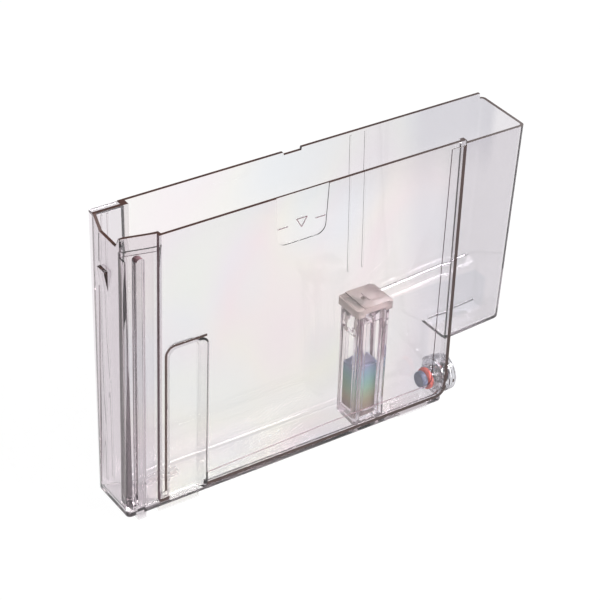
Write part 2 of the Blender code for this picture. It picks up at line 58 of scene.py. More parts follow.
# the shell's body and its open rim
WALL = 2.2
NOSE_X = 2.5
BODY_Y = 2.5
BASE_Z = 4.0
FAR_Y_BASE = 41.5
REAR_X = 256.0
UPRIGHT_R = 3.0
BASE_R = 2.5
INNER_BASE_R = 4.2
NOTCH_X = (145.3, 158.8)
FILLET = 2.3
FEET = ((26.5, 57.0, BODY_Y + 1.5, BODY_Y + 5.0), (26.5, 57.0, 31.0, 35.5), (222.0, 246.0, 6.5, 19.5))

# the flat panel on the near side, its margin and the strip along its right and lower edges
PANEL_X = (25.5, 257.4)
PANEL_LOW_Z = 10.5
PANEL_CORNER = 9.0
PANEL_ROOT_Y = BODY_Y + 6.0
MARGIN = 3.0
MARGIN_DROP = 0.35
STRIP_PROUD = 0.8
STRIP_X = (243.7, 245.5)
STRIP_Z = (17.6, 21.0, 24.6)
STRIP_CORNER = 5.0
STRIP_TOP_GAP = 3.4
# where the painted dark line along the strip's steps begins
STRIP_SHADE_START = (238.0, 34.0)
BORDER_Z = 20.0

# the tail that hangs over the rear wall, and the bay taken out of the far side under the shelf
TAIL_RIM_Z = 211.2
TAIL_LOW_X = 301.5
TAIL_FLOOR_Z = 56.3
TAIL_SLOPE = 0.06
TAIL_CORNER = 3.8
TAIL_BASE_R = 2.6
BAY_X = 214.0
SHELF_Z = 83.0
SHELF_SLOPE = 0.07
BAY_Y_SHELF = 34.7
BAY_Y_BASE = 25.0
BAY_LEAN = (BAY_Y_SHELF - BAY_Y_BASE) / (SHELF_Z - BASE_Z)
BAY_R = 2.2
RIB_X = (197.4, 209.2)
RIB_LOW_Z = 110.0
RIB_PROUD = 0.45

# the nose, its crease and hook, and the grip recess with its rail
NOSE_BACK_X = 26.0
NOSE_FAR_Y = (45.0, 40.4)
NOSE_RIB_X = (9.0, 13.2)
CREASE_Y = (37.3, 33.8)
CREASE_PROUD = 0.3
CREASE_HALF = 0.4
CREASE_SPANS = ((12.0, 168.0), (186.0, 206.5))
HOOK_Y = (24.0, 33.0)
HOOK_Z = (169.0, 184.0)
BAND_Z = 202.2
GRIP_X = 22.6
GRIP_LOW_Z = 11.5
GRIP_FLARE = 0.24
GRIP_DEEPER = 1.3
GRIP_CHAMFER = 0.9
RAIL_X = (10.6, 16.6)
CAP_LOW_Z = 190.0

# the finger pocket and the level patch
POCKET_X = (31.2, 57.5)
POCKET_TOP_Z = 129.5
POCKET_DEPTH = 7.0
POCKET_CORNER = 6.0
POCKET_DRAFT = 5.0
MOUTH_LEFT = 0.6
MOUTH_RIGHT = 5.7
MOUTH_TOP = 0.8
LIP_WIDTH = 1.5
LIP_PROUD = 0.3
PATCH_X = (111.0, 148.0)
PATCH_LOW_Z = 179.0
PATCH_CORNER = 7.0
LEVEL_Z = 191.8
LEVEL_LINE = 0.5
LEVEL_FACE_Y = 1.15

# the float cage, its lid and the float
CAGE_X = (182.4, 208.4)
CAGE_Y = (8.0, 28.8)
CAGE_Z = (9.3, 99.5)
CAGE_WALL = 1.5
CAGE_TAPER = 0.5
LID_Z = (97.3, 104.3)
LID_WALL = 1.3
LID_LEDGES = (6.0, 3.2)
LID_LEDGE_DROP = 1.0
LEG_LOW_Z = 79.0
GAP = 0.3
FLOAT_X = (184.8, 205.2)
FLOAT_Y = (11.9, 26.4)
FLOAT_Z = (11.2, 53.6)

# the outlet and its valve
VALVE_Y = 14.4
VALVE_Z = 20.2
SEAT_X = 250.3
COLLAR_X = 266.7
COLLAR_R = 14.2
STEM_R = 2.4
HEAD_R = 7.6
HEAD_X = COLLAR_X - 2.6
KNOB_BACK = SEAT_X - 3.9

# how far a cutter reaches past what it cuts
PAST = 3.0

# the camera
EYE = (-0.69437, -0.98764, 0.9132)
AZIMUTH, ELEVATION, ROLL = 34.83, 33.6, -2.3
LENS = 131.4

# what the lights point at, and how often light may pass through the clear walls
TANK_MIDDLE = (0.0, 0.0, 0.1)
BOUNCES = 32


# ---------------------------------------------------------------- shapes

def place(x, y, z):
    """Design millimetres to the row frame in metres."""
    return Vector(((x - LENGTH / 2) * MM, (y - WIDTH / 2) * MM, z * MM))


def new_object(name, bm, hidden=False):
    bmesh.ops.recalc_face_normals(bm, faces=bm.faces)
    for vert in bm.verts:
        vert.co = place(*vert.co)
    mesh = bpy.data.meshes.new(name)
    bm.to_mesh(mesh)
    bm.free()
    obj = bpy.data.objects.new(name, mesh)
    bpy.context.scene.collection.objects.link(obj)
    obj.hide_render = hidden
    return obj


def join_rings(bm, rings):
    loops = [[bm.verts.new(point) for point in ring] for ring in rings]
    count = len(loops[0])
    for low, high in zip(loops, loops[1:]):
        for i in range(count):
            j = (i + 1) % count
            bm.faces.new((low[i], low[j], high[j], high[i]))
    bm.faces.new(loops[0])
    bm.faces.new(loops[-1])


def round_ring(x0, x1, y0, y1, z, radius, steps=6):
    corners = ((x1, y1, 0), (x0, y1, 90), (x0, y0, 180), (x1, y0, 270))
    ring = []
    for cx, cy, start in corners:
        mx = cx - math.copysign(radius, cx - (x0 + x1) / 2)
        my = cy - math.copysign(radius, cy - (y0 + y1) / 2)
        for i in range(steps + 1):
            angle = math.radians(start + 90 * i / steps)
            ring.append((mx + radius * math.cos(angle), my + radius * math.sin(angle), z))
    return ring


def drafted_box(top, base, z_top, z_base, corner, base_round=0.0, slope=0.0, slope_x=0.0):
    """A box that tapers from its top rectangle to its base, with round upright and base edges."""
    bm = bmesh.new()
    rings = []
    for i in range(7 if base_round else 1):
        angle = math.radians(15 * i)
        inset = base_round * (1 - math.sin(angle))
        z = z_base + base_round * (1 - math.cos(angle))
        share = (z - z_base) / (z_top - z_base)
        x0, x1, y0, y1 = (b + (t - b) * share for t, b in zip(top, base))
        radius = max(corner - inset * 0.5, 0.15)
        ring = round_ring(x0 + inset, x1 - inset, y0 + inset, y1 - inset, z, radius)
        rings.append([(x, y, ring_z + slope * (x - slope_x)) for x, y, ring_z in ring])
    rings.append(round_ring(*top, z_top, corner))
    join_rings(bm, rings)
    return bm


def prism_z(outline, z0, z1, high=None):
    bm = bmesh.new()
    join_rings(bm, [[(x, y, z0) for x, y in outline], [(x, y, z1) for x, y in (high or outline)]])
    return bm


def prism_x(outline, x0, x1):
    bm = bmesh.new()
    join_rings(bm, [[(x0, y, z) for y, z in outline], [(x1, y, z) for y, z in outline]])
    return bm


def prism_y(outline, y0, y1, far=None):
    bm = bmesh.new()
    join_rings(bm, [[(x, y0, z) for x, z in outline], [(x, y1, z) for x, z in (far or outline)]])
    return bm


def box(x0, x1, y0, y1, z0, z1):
    return prism_z(((x0, y0), (x1, y0), (x1, y1), (x0, y1)), z0, z1)


def circle(sides):
    return [2 * math.pi * i / sides for i in range(sides)]


def turned_x(profile, y, z, sides=48):
    bm = bmesh.new()
    join_rings(bm, [[(x, y + r * math.cos(a), z + r * math.sin(a)) for a in circle(sides)]
                    for x, r in profile])
    return bm


def turned_z(profile, x, y, sides=40):
    bm = bmesh.new()
    join_rings(bm, [[(x + r * math.cos(a), y + r * math.sin(a), z) for a in circle(sides)]
                    for z, r in profile])
    return bm


def tube_x(profile, y, z, sides=48):
    """Turn a closed (x, radius) outline about an axis along X; the hole stays open."""
    bm = bmesh.new()
    loops = [[bm.verts.new((x, y + r * math.cos(a), z + r * math.sin(a))) for x, r in profile]
             for a in circle(sides)]
    count = len(profile)
    for i in range(sides):
        here, there = loops[i], loops[(i + 1) % sides]
        for j in range(count):
            k = (j + 1) % count
            bm.faces.new((here[j], here[k], there[k], there[j]))
    return bm


def arc(cx, cz, radius, start, end, steps=8):
    points = []
    for i in range(steps + 1):
        angle = math.radians(start + (end - start) * i / steps)
        points.append((cx + radius * math.cos(angle), cz + radius * math.sin(angle)))
    return points


def boolean(target, tools, operation):
    """Queue a Boolean for each tool; bake() applies them all."""
    for tool in tools:
        tool = tool if isinstance(tool, bpy.types.Object) else new_object("tool", tool, hidden=True)
        mod = target.modifiers.new("cut", "BOOLEAN")
        mod.object = tool
        mod.operation = operation
        mod.solver = "EXACT"


def bake(obj):
    """Apply the queued modifiers and delete what they used."""
    tools = [mod.object for mod in obj.modifiers if mod.type == "BOOLEAN"]
    bpy.context.view_layer.update()
    graph = bpy.context.evaluated_depsgraph_get()
    mesh = bpy.data.meshes.new_from_object(obj.evaluated_get(graph), depsgraph=graph)
    obj.modifiers.clear()
    obj.data = mesh
    for tool in tools:
        bpy.data.objects.remove(tool)
    return obj


# ---------------------------------------------------------------- the moulded shell

def panel_hollow(above):
    """The space behind the panel, which stops at the rear wall's inner face."""
    x0, x1 = PANEL_X[0] + WALL, min(PANEL_X[1], REAR_X) - WALL
    z0 = PANEL_LOW_Z + WALL
    radius = PANEL_CORNER - WALL / 2
    outline = [(x0, above), (x0, z0), *arc(x1 - radius, z0 + radius, radius, 270, 360), (x1, above)]
    return prism_y(outline, STRIP_PROUD + WALL, PANEL_ROOT_Y + WALL)


def panel_solid():
    """The panel's outside: a shallow chamfer runs down its right edge and along its lower edge."""
    def outline(margin):
        x1, z0, radius = PANEL_X[1] - margin, PANEL_LOW_Z + margin, PANEL_CORNER - margin
        return [(PANEL_X[0], HEIGHT), (PANEL_X[0], z0), *arc(x1 - radius, z0 + radius, radius, 270, 360),
                (x1, HEIGHT)]
    bm = bmesh.new()
    join_rings(bm, [[(x, y, z) for x, z in outline(margin)]
                    for y, margin in ((0.0, MARGIN), (MARGIN_DROP, 0.0), (PANEL_ROOT_Y, 0.0))])
    return bm


def far_y(z, inset=0.0):
    return FAR_Y_BASE + (WIDTH - FAR_Y_BASE) * (z - BASE_Z) / (HEIGHT - BASE_Z) - inset


def shell_solids(inset):
    """The overlapping solids whose union is the shell's outside (inset 0) or its hollow (inset WALL)."""
    low = BASE_Z + inset
    above = HEIGHT + (5.0 if inset else 0.0)
    corner = UPRIGHT_R - inset * 0.5
    rounding = INNER_BASE_R if inset else BASE_R
    near = BODY_Y + inset
    main = drafted_box(
        (NOSE_X + inset, REAR_X - inset, near, far_y(above, inset)),
        (NOSE_X + inset, REAR_X - inset, near, far_y(low, inset)), above, low, corner, rounding)
    panel = panel_hollow(above) if inset else panel_solid()
    floor = TAIL_FLOOR_Z + inset
    tail_x = TAIL_LOW_X + (LENGTH - TAIL_LOW_X) * (above - floor) / (TAIL_RIM_Z - floor)
    tail = drafted_box(
        (REAR_X - 20, tail_x - inset, near, far_y(above, inset)),
        (REAR_X - 20, TAIL_LOW_X - inset, near, far_y(floor, inset)),
        above, floor, TAIL_CORNER - inset * 0.8, TAIL_BASE_R, TAIL_SLOPE, REAR_X)
    return [main, panel, tail]


def crease_solid(inset):
    def outline(crease_y):
        x = NOSE_X + inset
        return ((-8.0, crease_y), (x, crease_y), (x + 1.4, WIDTH + 1.0), (-8.0, WIDTH + 1.0))
    return prism_z(outline(CREASE_Y[0]), -6.0, HEIGHT + 10.0, outline(CREASE_Y[1]))


def bay_solid(inset):
    """The space taken out of the far side under the shelf; its top edge is round."""
    x0 = BAY_X - inset
    x1 = LENGTH + 20
    z_near, z_far = (SHELF_Z + inset + SHELF_SLOPE * (x - BAY_X) for x in (x0, x1))
    bm = bmesh.new()
    rings = []
    for x, z in ((x0, z_near), (x1, z_far)):
        y_shelf = BAY_Y_BASE - inset + BAY_LEAN * (z - BASE_Z)
        y_low = BAY_Y_BASE - inset + BAY_LEAN * (-6 - BASE_Z)
        turns = [math.radians(22.5 * i) for i in range(5)]
        bend = [(x, y_shelf + BAY_R - BAY_R * math.cos(a) - 0.2, z - BAY_R + BAY_R * math.sin(a))
                for a in turns]
        rings.append([(x, y_low, -6), (x, 70, -6), (x, 70, z), *reversed(bend)])
    join_rings(bm, rings)
    return bm


def far_fillet(x0, x1, corner):
    """Concave fillet between a floor and the wall on its far side; corner gives (y, z) at each x."""
    bm = bmesh.new()
    rings = []
    for x in (x0, x1):
        y, z = corner(x)
        turns = [i * math.pi / 8 for i in range(1, 4)]
        bend = [(x, y - FILLET + FILLET * math.sin(a), z + FILLET - FILLET * math.cos(a)) for a in turns]
        rings.append([(x, y + 0.8, z - 0.8), (x, y - FILLET, z - 0.05), *bend, (x, y + 0.3, z + FILLET),
                      (x, y + 0.9, z + FILLET)])
    join_rings(bm, rings)
    return bm


def shelf_corner(x):
    z = SHELF_Z + WALL + SHELF_SLOPE * (x - BAY_X)
    return far_y(z, WALL), z


def tail_corner(x):
    z = TAIL_FLOOR_Z + WALL + TAIL_SLOPE * (x - REAR_X)
    return BAY_Y_BASE - WALL + BAY_LEAN * (z - BASE_Z), z


def nose_far_solid(inset):
    x0 = NOSE_X + WALL if not inset else -10
    x1 = NOSE_BACK_X + inset
    top = HEIGHT - WALL if not inset else HEIGHT + 10
    high = NOSE_FAR_Y[0] - inset
    base = NOSE_FAR_Y[1] - inset
    return prism_z(((x0, base), (x1, base), (x1, 70), (x0, 70)), -6, top,
                   ((x0, high), (x1, high), (x1, 70), (x0, 70)))


def grip_solids(inset):
    """The grip recess in the near-left corner: a shallower band at the top and a deeper field below."""
    def outline(left, deep):
        left -= inset
        near = 4.4 + deep + inset
        back = near + GRIP_FLARE * (GRIP_X - left)
        return ((left, -8.0), (left, back - GRIP_CHAMFER),
                (left + GRIP_CHAMFER, back - GRIP_FLARE * GRIP_CHAMFER), (GRIP_X, near),
                (25.4 + inset, near - 0.6), (26.4 + inset, -8.0))

    band = prism_z(outline(-8.0, 0.0), BAND_Z - inset - 0.5, HEIGHT + 10)
    low, high = (outline(left, GRIP_DEEPER) for left in (6.2, 3.4))
    return [band, prism_z(low, GRIP_LOW_Z - inset, BAND_Z + inset, high)]


def pocket_solid(inset):
    def outline(x0, x1, z1, radius):
        return [(x0, PANEL_LOW_Z - PAST), (x1, PANEL_LOW_Z - PAST),
                *arc(x1 - radius, z1 - radius, radius, 0, 90),
                *arc(x0 + radius, z1 - radius, radius, 90, 180)]
    x0, x1 = POCKET_X[0] - inset, POCKET_X[1] + inset
    top = POCKET_TOP_Z + inset
    mouth = outline(x0 - MOUTH_LEFT, x1 + MOUTH_RIGHT, top + MOUTH_TOP, POCKET_CORNER + inset)
    back = outline(x0 + POCKET_DRAFT + 0.2, x1, top - POCKET_DRAFT, POCKET_CORNER - 1.0 + inset)
    return prism_y(mouth, -PAST, POCKET_DEPTH + inset, back)


def pocket_lip():
    """A low bead on the panel round the pocket's left side and top; its front face carries a painted dark
    line of shade.
    """
    x0, x1 = POCKET_X[0] - MOUTH_LEFT, POCKET_X[1] + 2.5
    top = POCKET_TOP_Z + MOUTH_TOP

    def side(grow):
        bend = arc(x0 + POCKET_CORNER, top - POCKET_CORNER, POCKET_CORNER + grow, 90, 180)
        return [(x0 - grow, PANEL_LOW_Z + 1.0), *reversed(bend), (x1, top + grow)]

    outline = side(LIP_WIDTH) + list(reversed(side(-0.1)))
    return prism_y(outline, STRIP_PROUD - LIP_PROUD, STRIP_PROUD + 1.2)


def panel_field():
    """The panel's main face, set back from the strip along its right and lower edges; the strip tapers."""
    x0, x1 = PANEL_X[0] - PAST, PANEL_X[1] + PAST
    x_low, x_top = STRIP_X
    z_left, z_pocket, z_right = STRIP_Z
    high, above = HEIGHT - STRIP_TOP_GAP, HEIGHT + PAST
    outline = [(x0, above), (x0, z_left), (58.0, z_pocket), (160.0, z_right),
               *arc(x_low - STRIP_CORNER, z_right + STRIP_CORNER, STRIP_CORNER, 270, 360), (x_top, high),
               (x1, high), (x1, above)]
    return prism_y(outline, -PAST, STRIP_PROUD)


def level_patch():
    x0, x1 = PATCH_X
    left, right, z = x0 + PATCH_CORNER, x1 - PATCH_CORNER, PATCH_LOW_Z + PATCH_CORNER
    outline = [(x0 - 1.5, HEIGHT + PAST), (x0, z), *arc(left, z, PATCH_CORNER, 180, 270),
               *arc(right, z, PATCH_CORNER, 270, 360), (x1 + 1.5, HEIGHT + PAST)]
    return prism_y(outline, -PAST, STRIP_PROUD + 0.7)


def collar():
    """The round outlet spigot, with three shallow grooves."""
    inner = COLLAR_R - 2.0
    profile = [(REAR_X - 1.0, COLLAR_R)]
    for i in range(3):
        x = COLLAR_X - 7.2 + 2.4 * i
        land = COLLAR_R - 0.15 * i
        groove = COLLAR_R - 0.8
        profile += [(x, land), (x + 0.15, groove), (x + 0.8, groove), (x + 0.95, land)]
    profile += [(COLLAR_X - 0.6, COLLAR_R - 0.5), (COLLAR_X, COLLAR_R - 1.1), (COLLAR_X, inner),
                (REAR_X - 1.0, inner)]
    return tube_x(profile, VALVE_Y, VALVE_Z, 64)


def rail():
    x0, x1 = RAIL_X
    middle = (x0 + x1) / 2
    radius = (x1 - x0) / 2
    outline = [(x0, 0.0), (x1, 0.0), *arc(middle, BAND_Z - 1.2 - radius, radius, 0, 180, 12)]
    return prism_y(outline, BODY_Y + 0.6, 10.4)


def hook():
    """The catch on the nose face; its lower side slopes back to the face."""
    low, top = HOOK_Z
    root = NOSE_X + 1
    bm = bmesh.new()
    rings = [[(root, y, low), (root, y, top), (0.0, y, top), (0.0, y, top - 2.0), (NOSE_X, y, low)]
             for y in HOOK_Y]
    join_rings(bm, rings)
    return bm


def crease_beads():
    """A fine bead down the nose face's crease, in two lengths with the hook's height between them."""
    low_y, high_y = CREASE_Y
    root, face = NOSE_X + 1.0, NOSE_X - CREASE_PROUD
    beads = []
    for span in CREASE_SPANS:
        rings = []
        for z in span:
            y = low_y + (high_y - low_y) * z / HEIGHT
            y0, y1 = y - CREASE_HALF, y + CREASE_HALF
            rings.append([(root, y0, z), (face, y0, z), (face, y1, z), (root, y1, z)])
        bm = bmesh.new()
        join_rings(bm, rings)
        beads.append(bm)
    return beads


def feet():
    return [box(x0, x1, y0, y1, 0.0, BASE_Z + 1.0) for x0, x1, y0, y1 in FEET]


def cage_seats():
    x0, x1 = CAGE_X[0] + 0.5, CAGE_X[1] - 0.5
    return [box(x, x + 3.0, CAGE_Y[0] + 2.0, CAGE_Y[1] - 2.0, BASE_Z + 1.0, CAGE_Z[0] - 0.3)
            for x in (x0 + 2.0, x1 - 5.0)]


def ribs():
    """Two upright ribs on the far wall and two inside the nose; they lean as the walls do."""
    made = []
    wall_y, rib_y = far_y(HEIGHT, WALL) + 0.4, far_y(HEIGHT, WALL + RIB_PROUD)
    drop = far_y(HEIGHT) - far_y(RIB_LOW_Z)
    for x in RIB_X:
        top = ((x - 0.6, wall_y), (x - 0.6, rib_y), (x + 0.6, rib_y), (x + 0.6, wall_y))
        low = [(px, py - drop) for px, py in top]
        made.append(prism_z(low, RIB_LOW_Z, HEIGHT - 2.0, top))
    y = NOSE_FAR_Y[0] - WALL
    drop = 0.93 * (NOSE_FAR_Y[0] - NOSE_FAR_Y[1])
    for x in NOSE_RIB_X:
        top = ((x - 0.5, y + 0.4), (x - 0.5, y - 1.0), (x + 0.5, y - 1.0), (x + 0.5, y + 0.4))
        low = [(px, py - drop) for px, py in top]
        made.append(prism_z(low, 12.0, HEIGHT - 2.0, top))
    return made


def spout():
    """Cuts the pouring dip in the nose end's rim."""
    outline = ((45.0, HEIGHT + 4), (43.0, HEIGHT), (34.0, HEIGHT - 7.2), (14.2, HEIGHT - 7.8), (10.6, HEIGHT),
               (9.6, HEIGHT + 4))
    return prism_x(outline, -PAST, NOSE_X + WALL + 1.5)


def rim_cuts():
    above = HEIGHT + 4
    x0, x1 = NOTCH_X
    notch = prism_y(((x0, HEIGHT - 2), (x1, HEIGHT - 2), (x1 + 1, HEIGHT + PAST), (x0 - 1, HEIGHT + PAST)),
                    40.0, 60.0)
    near = box(PANEL_X[1], LENGTH + 5, -5.0, WIDTH - WALL - 0.4, TAIL_RIM_Z, above)
    end = box(LENGTH - 4.2, LENGTH + 6, 30.0, WIDTH + 5, TAIL_RIM_Z, above)
    bore = turned_x(((SEAT_X - 2.0, 5.2), (REAR_X + PAST, 5.2)), VALVE_Y, VALVE_Z)
    flange = box(NOSE_X - 1.0, NOSE_BACK_X - WALL, NOSE_FAR_Y[0], WIDTH + PAST, HEIGHT - 0.4, above)
    return [spout(), notch, near, end, bore, flange]


def tank_shell(clear, edge, fine_line_shade):
    main, panel, tail = shell_solids(0.0)
    tank = new_object("tank_shell", main)
    boolean(tank, [tail], "UNION")
    boolean(tank, grip_solids(0.0), "DIFFERENCE")
    boolean(tank, [panel], "UNION")
    boolean(tank, [crease_solid(0.0), bay_solid(0.0), nose_far_solid(0.0), pocket_solid(0.0), panel_field(),
                   level_patch()], "DIFFERENCE")
    main, panel, tail = shell_solids(WALL)
    hollow = new_object("hollow", main, hidden=True)
    boolean(hollow, [panel, tail], "UNION")
    boolean(hollow, [crease_solid(WALL), bay_solid(WALL), nose_far_solid(WALL), *grip_solids(WALL),
                     pocket_solid(WALL)], "DIFFERENCE")
    bake(hollow)
    boolean(tank, [hollow], "DIFFERENCE")
    seat = turned_x(((SEAT_X, 8.6), (SEAT_X + 0.4, 9.0), (REAR_X - 1.0, 9.3)), VALVE_Y, VALVE_Z)
    fillets = [far_fillet(BAY_X - WALL + 0.5, 300.0, shelf_corner),
               far_fillet(REAR_X + 2.5, 298.0, tail_corner)]
    boolean(tank, [seat, collar(), rail(), hook(), *crease_beads(), pocket_lip(), *fillets, *feet(), *ribs(),
                   *cage_seats(), *level_mark()], "UNION")
    boolean(tank, rim_cuts(), "DIFFERENCE")
    bake(tank)
    finish_piece(tank, clear, "tank", "clear_plastic", "tank_body")
    tank.data.materials.append(edge)
    tank.data.materials.append(fine_line_shade)
    mark_edges(tank)
    return tank


def mark_edges(tank):
    """Give the narrow faces where the plastic is seen end on, and the fine lines, their own darker materials:
    painted shade, over the plastic's own tint on the rim.
    """
    for face in tank.data.polygons:
        centre = face.center / MM + Vector((LENGTH / 2, WIDTH / 2, 0.0))
        if is_edge(centre, face.normal):
            face.material_index = 1
        elif is_fine_line(centre, face.normal):
            face.material_index = 2


def is_edge(c, n):
    """Whether a face is seen end on and gets the painted dark shade: on the rim, a chamfer, the pocket's lip,
    the hook or the upper bead.
    """
    rim = n.z > 0.55 and c.z > BAND_Z + 1.0
    dip_flank = c.x < NOSE_X + WALL + 1.6 and c.y < 14.2 and n.y > 0.5
    flange = c.x < NOSE_BACK_X and c.y > NOSE_FAR_Y[0] + 0.2
    border = c.x > PANEL_X[1] - PANEL_CORNER or c.z < BORDER_Z
    on_panel = c.y < 2.4 and c.z > PANEL_LOW_Z - 0.1 and PANEL_X[0] + 1.0 < c.x < PANEL_X[1] + 0.2
    turned = abs(n.y) < 0.995 and (n.x > 0.05 or n.z < -0.05)
    at_pocket = POCKET_X[0] - 2.0 < c.x < POCKET_X[1] + 6.5 and c.z > 11.5
    margin = border and on_panel and turned and not at_pocket
    lip = n.y < -0.9 and abs(c.y - STRIP_PROUD + LIP_PROUD) < 0.05
    chamfer = c.x < 9.0 and 6.0 < c.y < 13.5 and n.x > 0.35 and n.y < -0.35 and c.z < BAND_Z
    catch = c.x < NOSE_X - 0.05 and HOOK_Z[0] < c.z < HOOK_Z[1] + 1.0 and (n.z > 0.5 or n.y < -0.9)
    crease = n.x < -0.8 and c.x < NOSE_X - 0.1 and c.z > HOOK_Z[1] + 1.0
    return (rim and not dip_flank and not flange) or margin or lip or chamfer or catch or crease


def is_fine_line(c, n):
    """Whether a face is a fine line of painted shade: a step of the panel, strip or band, the mark, rail cap
    or lower bead.
    """
    strip = c.y < STRIP_PROUD and abs(n.y) < 0.2 and (c.x > STRIP_SHADE_START[0] or c.z < STRIP_SHADE_START[1])
    strip = strip and c.x > POCKET_X[1] + 1.5
    left = abs(c.x - PANEL_X[0]) < 0.7 and n.x < -0.8 and c.y < 3.6
    band = n.z < -0.9 and abs(c.z - BAND_Z) < 0.8 and c.x < PANEL_X[0]
    on_patch = PATCH_X[0] - 1 < c.x < PATCH_X[1] + 1 and c.z > PATCH_LOW_Z
    mark = n.y < -0.9 and abs(c.y - LEVEL_FACE_Y) < 0.04 and on_patch
    on_rail = RAIL_X[0] - 0.1 < c.x < RAIL_X[1] + 0.1 and c.y < 11.0
    cap = on_rail and n.z > 0.15 and CAP_LOW_Z < c.z < BAND_Z
    crease = n.x < -0.8 and c.x < NOSE_X - 0.1 and c.z < HOOK_Z[0] - 9.0 and c.y > CREASE_Y[1] - 1.0
    return strip or left or band or mark or cap or crease


def level_mark():
    """Raised dashes and a small open triangle at the full level."""
    x0, x1 = PATCH_X
    middle = (x0 + x1) / 2
    y0, y1 = LEVEL_FACE_Y, STRIP_PROUD + 1.2
    z, half = LEVEL_Z, LEVEL_LINE / 2
    made = [box(a, b, y0, y1, z - half, z + half) for a, b in ((x0 + 0.5, x0 + 8.0), (x1 - 8.0, x1 - 0.5))]
    corners = ((middle - 4.0, z + 3.4), (middle, z - 3.2), (middle + 4.0, z + 3.4))
    for (ax, az), (bx, bz) in zip(corners, corners[1:] + corners[:1]):
        length = math.hypot(bx - ax, bz - az)
        nx, nz = -(bz - az) / length * half, (bx - ax) / length * half
        side = ((ax + nx, az + nz), (ax - nx, az - nz), (bx - nx, bz - nz), (bx + nx, bz + nz))
        made.append(prism_y(side, y0, y1))
    return made


def finish_piece(obj, mat, body, slot, *nodes, sharp=30):
    obj.data.materials.clear()
    obj.data.materials.append(mat)
    obj.data.shade_smooth()
    obj.data.set_sharp_from_angle(angle=math.radians(sharp))
    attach(obj, body)
    if nodes:
        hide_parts(*nodes)
    return obj


def soften(obj, width, segments=2):
    """Round the piece's sharp edges slightly, and apply everything queued on it."""
    mod = obj.modifiers.new("round", "BEVEL")
    mod.width = width * MM
    mod.segments = segments
    mod.limit_method = "ANGLE"
    mod.angle_limit = math.radians(40)
    mod.harden_normals = False
    return bake(obj)


# ---------------------------------------------------------------- cage, lid and float

def cage(clear):
    x0, x1 = CAGE_X
    y0, y1 = CAGE_Y
    z0, z1 = CAGE_Z
    wall, taper = CAGE_WALL, CAGE_TAPER
    piece = new_object("cage", drafted_box((x0, x1, y0, y1), (x0 + taper, x1 - taper, y0, y1), z1, z0, 1.2))
    inner = drafted_box(
        (x0 + wall, x1 - wall, y0 + wall, y1 - wall),
        (x0 + wall + taper, x1 - wall - taper, y0 + wall, y1 - wall), z1 + 4.0, z0 + wall, 0.6)
    middle = (x0 + x1) / 2
    cuts = [inner,
            box(middle - 5.5, middle + 5.5, y0 - 4, y1 + 4, z0 + 8.0, z1 - 9.5),
            box(x0 - 5, x0 + 5, y0 + 4.2, y1 - 4.2, z0 + 8.0, 79.5),
            box(x1 - 5, x1 + 5, 15.0, 22.0, z0 + 12.0, z1 - 9.5),
            box(middle - 6.0, middle + 6.0, 12.0, 24.0, z0 - 3.0, z0 + 4.0)]
    cuts += [box(x0 - 4, x1 + 4, y, y + 3.5, z1 - 17.5, z1 - 13.5) for y in (y0 + 3.0, y1 - 6.5)]
    boolean(piece, cuts, "DIFFERENCE")
    rail_y = ((y0 + 0.9, FLOAT_Y[0] - 0.4), (FLOAT_Y[1] + 0.4, y1 - 0.9))
    rails = [box(x - 0.6, x + 0.6, low, high, z0 + 0.7, z1 - 10.5)
             for x in (middle - 8.0, middle + 8.0) for low, high in rail_y]
    boolean(piece, rails, "UNION")
    soften(piece, 0.2)
    return finish_piece(piece, clear, "tank", "clear_plastic", "float_cage", sharp=25)


def lid(smoke):
    x0, x1 = CAGE_X
    y0, y1 = CAGE_Y
    low, top = LID_Z
    reach = LID_WALL + GAP
    outer = (x0 - reach, x1 + reach, y0 - reach, y1 + reach)
    inner = (x0 - GAP, x1 + GAP, y0 - GAP, y1 + GAP)
    piece = new_object("lid", drafted_box(outer, outer, top, low, 1.6))
    crown_reach = CAGE_WALL + 0.8
    crown = (x0 + crown_reach, x1 - crown_reach, y0 + crown_reach, y1 - crown_reach)
    ledge_z = (top - LID_LEDGE_DROP, top + 2.0)
    cuts = [drafted_box(inner, inner, CAGE_Z[1] + GAP, low - 2, 1.2),
            drafted_box(crown, crown, top - 2.8, CAGE_Z[1] - 3.0, 0.8),
            box(x0 + 5.0, x1 - 5.0, y0 - 5, y1 + 5, low - 1.0, low + 2.2),
            box(outer[0] - 1, outer[0] + LID_LEDGES[0], y0 - 5, y1 + 5, *ledge_z),
            box(outer[1] - LID_LEDGES[1], outer[1] + 1, y0 - 5, y1 + 5, *ledge_z)]
    boolean(piece, cuts, "DIFFERENCE")
    inside = CAGE_WALL + 0.4
    legs = []
    for x, side in ((x0 + inside, 1), (x1 - inside, -1)):
        near, far = sorted((x + side * 0.15, x + side * 1.35))
        legs += [box(near, far, y, y + 3.2, LEG_LOW_Z, top - 2.0) for y in (y0 + 3.2, y1 - 6.4)]
    middle_x, middle_y = (x0 + x1) / 2, (y0 + y1) / 2
    grip = box(middle_x - 0.6, middle_x + 0.6, middle_y - 5.0, middle_y + 5.0, top - 1.0, top + 0.5)
    line_x = [outer[0] + 1.2 + 1.5 * i for i in range(3)]
    lines = [box(x, x + 0.5, y0 + 1.0, y1 - 1.0, ledge_z[0] - 0.5, ledge_z[0] + 0.25) for x in line_x]
    boolean(piece, [*legs, grip, *lines], "UNION")
    vent = box(x0 + 9.0, x0 + 12.0, middle_y - 1.5, middle_y + 1.5, CAGE_Z[1] - 1, top + 3)
    boolean(piece, [vent], "DIFFERENCE")
    soften(piece, 0.15)
    return finish_piece(piece, smoke, "lid", "smoke_plastic", "cage_lid", sharp=25)


